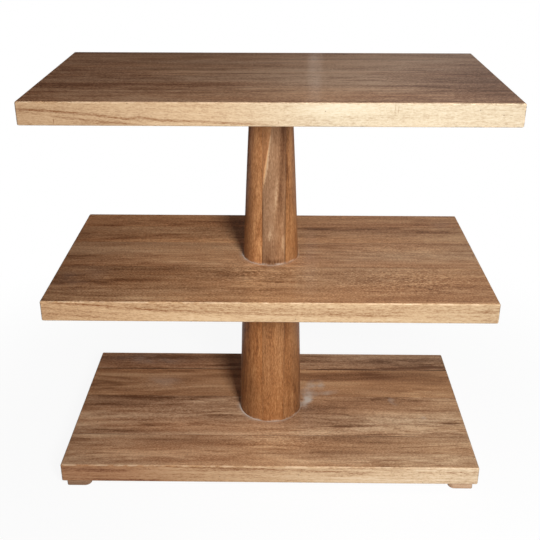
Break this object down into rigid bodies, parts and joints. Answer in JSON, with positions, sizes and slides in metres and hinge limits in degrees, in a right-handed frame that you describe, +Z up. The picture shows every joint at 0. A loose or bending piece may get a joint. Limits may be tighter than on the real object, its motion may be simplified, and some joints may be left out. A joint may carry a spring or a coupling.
{
  "type": "side table",
  "caption": "Solid wood side table with equal rectangular tiers on one round column that widens towards the floor, standing on small block feet.",
  "frame": {"origin": "on the floor, under the middle of the table", "axes": "+X along the tiers to the right as seen from the front, -Y towards the front, +Z up"},
  "size_m": [0.66, 0.35, 0.622],
  "materials": {
    "top_tier_wood": "satin lacquer, grey-brown",
    "middle_tier_wood": "satin lacquer, brown",
    "base_tier_wood": "satin lacquer, brown",
    "column_wood": "satin lacquer, orange-brown",
    "foot_wood": "satin lacquer, brown",
    "dowel_wood": "bare beech",
    "steel_fixings": "bright zinc plate"
  },
  "bodies": {
    "root": {"top_tier_back_board": "top_tier_wood", "top_tier_rear_centre_board": "top_tier_wood", "top_tier_front_centre_board": "top_tier_wood", "top_tier_front_board": "top_tier_wood", "middle_tier_back_board": "middle_tier_wood", "middle_tier_rear_centre_board": "middle_tier_wood", "middle_tier_front_centre_board": "middle_tier_wood", "middle_tier_front_board": "middle_tier_wood", "base_tier_back_board": "base_tier_wood", "base_tier_rear_centre_board": "base_tier_wood", "base_tier_front_centre_board": "base_tier_wood", "base_tier_front_board": "base_tier_wood", "upper_column_left_stave": "column_wood", "upper_column_centre_stave": "column_wood", "upper_column_right_stave": "column_wood", "lower_column_left_stave": "column_wood", "lower_column_centre_stave": "column_wood", "lower_column_right_stave": "column_wood", "upper_column_top_dowel_back": "dowel_wood", "upper_column_top_dowel_front": "dowel_wood", "upper_column_foot_dowel_back": "dowel_wood", "upper_column_foot_dowel_front": "dowel_wood", "lower_column_top_dowel_back": "dowel_wood", "lower_column_top_dowel_front": "dowel_wood", "lower_column_foot_dowel_back": "dowel_wood", "lower_column_foot_dowel_front": "dowel_wood", "tie_rod": "steel_fixings", "rod_insert": "steel_fixings", "rod_washer": "steel_fixings", "rod_nut": "steel_fixings", "front_left_foot": "foot_wood", "front_right_foot": "foot_wood", "back_left_foot": "foot_wood", "back_right_foot": "foot_wood", "front_left_foot_screw": "steel_fixings", "front_right_foot_screw": "steel_fixings", "back_left_foot_screw": "steel_fixings", "back_right_foot_screw": "steel_fixings"}
  },
  "joints": []
}
